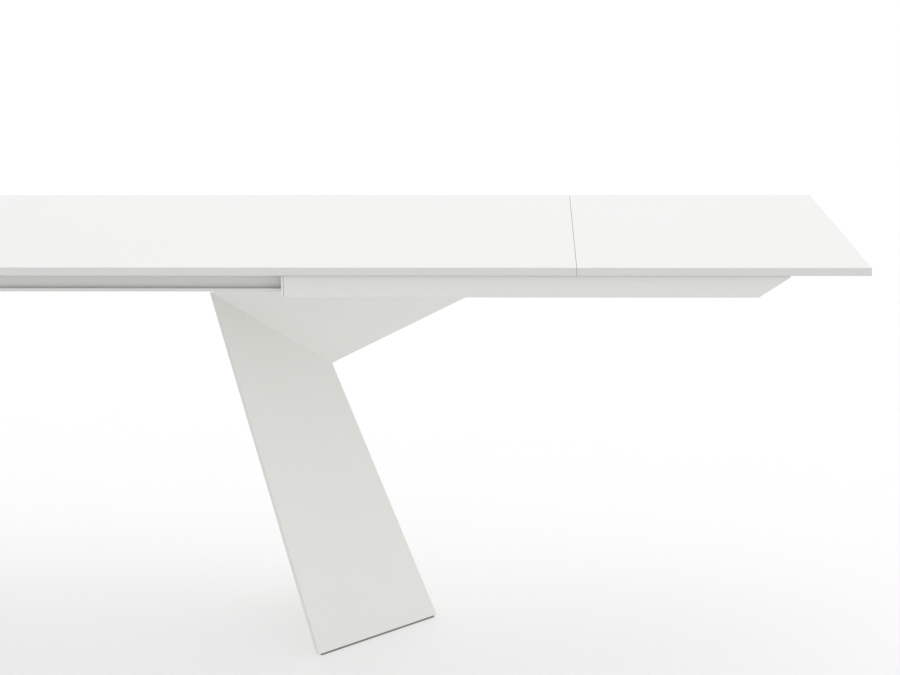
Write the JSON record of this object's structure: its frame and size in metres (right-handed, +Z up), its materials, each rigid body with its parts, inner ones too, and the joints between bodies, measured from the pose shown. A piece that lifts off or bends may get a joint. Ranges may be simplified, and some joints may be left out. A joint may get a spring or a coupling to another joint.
{
  "type": "extendable dining table",
  "caption": "White extendable dining table: thin lacquered top, folded sheet steel legs, and end leaves laid on arms that pull out of rails under the top.",
  "frame": {"origin": "on the floor, under the middle of the fixed top", "axes": "+X along the table towards the right leaf, -Y towards the front long edge, +Z up"},
  "size_m": [3.001, 1, 0.766],
  "materials": {
    "top_lacquer": "matt white lacquered board",
    "leg_coating": "satin white powder coat on sheet steel",
    "beam_coating": "satin white powder coat on steel tube",
    "arm_coating": "satin white powder coat on aluminium tube",
    "arm_cap_plastic": "fine textured white moulding",
    "rail_aluminium": "satin anodised extrusion",
    "glide_nylon": "natural nylon",
    "stop_plastic": "light grey moulding",
    "rubber": "dark matt rubber",
    "foot_rubber": "grey matt rubber",
    "zinc_steel": "bright zinc plated steel"
  },
  "bodies": {
    "table": {"beam_screws": "zinc_steel", "cross_beam_inner_left": "beam_coating", "cross_beam_inner_right": "beam_coating", "cross_beam_outer_left": "beam_coating", "cross_beam_outer_right": "beam_coating", "foot_strips": "foot_rubber", "hook_pins": "zinc_steel", "leg_bolts": "zinc_steel", "leg_plate_left": "leg_coating", "leg_plate_right": "leg_coating", "leg_sheet_left_front": "leg_coating", "leg_sheet_left_rear": "leg_coating", "leg_sheet_right_front": "leg_coating", "leg_sheet_right_rear": "leg_coating", "main_top": "top_lacquer", "rail_end_stops": "stop_plastic", "rail_front": "rail_aluminium", "rail_mid_stops": "stop_plastic", "rail_rear": "rail_aluminium", "top_screws": "zinc_steel"},
    "arm_right_front": {"arm_glides_right_front": "glide_nylon", "arm_inner_cap_right_front": "arm_cap_plastic", "arm_outer_cap_right_front": "arm_cap_plastic", "arm_pads_right_front": "rubber", "arm_runner_right_front": "rail_aluminium", "arm_screws_right_front": "zinc_steel", "arm_tube_right_front": "arm_coating"},
    "arm_left_front": {"arm_glides_left_front": "glide_nylon", "arm_inner_cap_left_front": "arm_cap_plastic", "arm_outer_cap_left_front": "arm_cap_plastic", "arm_pads_left_front": "rubber", "arm_runner_left_front": "rail_aluminium", "arm_screws_left_front": "zinc_steel", "arm_tube_left_front": "arm_coating"},
    "arm_right_rear": {"arm_glides_right_rear": "glide_nylon", "arm_inner_cap_right_rear": "arm_cap_plastic", "arm_outer_cap_right_rear": "arm_cap_plastic", "arm_pads_right_rear": "rubber", "arm_runner_right_rear": "rail_aluminium", "arm_screws_right_rear": "zinc_steel", "arm_tube_right_rear": "arm_coating"},
    "arm_left_rear": {"arm_glides_left_rear": "glide_nylon", "arm_inner_cap_left_rear": "arm_cap_plastic", "arm_outer_cap_left_rear": "arm_cap_plastic", "arm_pads_left_rear": "rubber", "arm_runner_left_rear": "rail_aluminium", "arm_screws_left_rear": "zinc_steel", "arm_tube_left_rear": "arm_coating"},
    "leaf_right": {"leaf_guides_right": "stop_plastic", "leaf_right": "top_lacquer", "leaf_studs_right": "zinc_steel"},
    "leaf_left": {"leaf_guides_left": "stop_plastic", "leaf_left": "top_lacquer", "leaf_studs_left": "zinc_steel"},
    "hook_right_front": {"joining_hook_right_front": "zinc_steel"},
    "hook_left_front": {"joining_hook_left_front": "zinc_steel"},
    "hook_right_rear": {"joining_hook_right_rear": "zinc_steel"},
    "hook_left_rear": {"joining_hook_left_rear": "zinc_steel"}
  },
  "joints": [
    {"name": "arm_slide_right_front", "type": "slide", "parent": "table", "child": "arm_right_front", "axis": [1, 0, 0], "range_m": [-0.49, 0]},
    {"name": "arm_slide_left_front", "type": "slide", "parent": "table", "child": "arm_left_front", "axis": [-1, 0, 0], "range_m": [-0.49, 0]},
    {"name": "arm_slide_right_rear", "type": "slide", "parent": "table", "child": "arm_right_rear", "axis": [1, 0, 0], "range_m": [-0.49, 0]},
    {"name": "arm_slide_left_rear", "type": "slide", "parent": "table", "child": "arm_left_rear", "axis": [-1, 0, 0], "range_m": [-0.49, 0]},
    {"name": "leaf_lift_right", "type": "slide", "parent": "table", "child": "leaf_right", "axis": [0, 0, 1], "range_m": [0, 0.12]},
    {"name": "leaf_lift_left", "type": "slide", "parent": "table", "child": "leaf_left", "axis": [0, 0, 1], "range_m": [0, 0.12]},
    {"name": "hook_turn_right_front", "type": "hinge", "parent": "table", "child": "hook_right_front", "pos_m": [0.96, -0.25, 0.7475], "axis": [0, 0, 1], "range_deg": [0, 90]},
    {"name": "hook_turn_left_front", "type": "hinge", "parent": "table", "child": "hook_left_front", "pos_m": [-0.96, -0.25, 0.7475], "axis": [0, 0, -1], "range_deg": [0, 90]},
    {"name": "hook_turn_right_rear", "type": "hinge", "parent": "table", "child": "hook_right_rear", "pos_m": [0.96, 0.25, 0.7475], "axis": [0, 0, -1], "range_deg": [0, 90]},
    {"name": "hook_turn_left_rear", "type": "hinge", "parent": "table", "child": "hook_left_rear", "pos_m": [-0.96, 0.25, 0.7475], "axis": [0, 0, 1], "range_deg": [0, 90]}
  ]
}
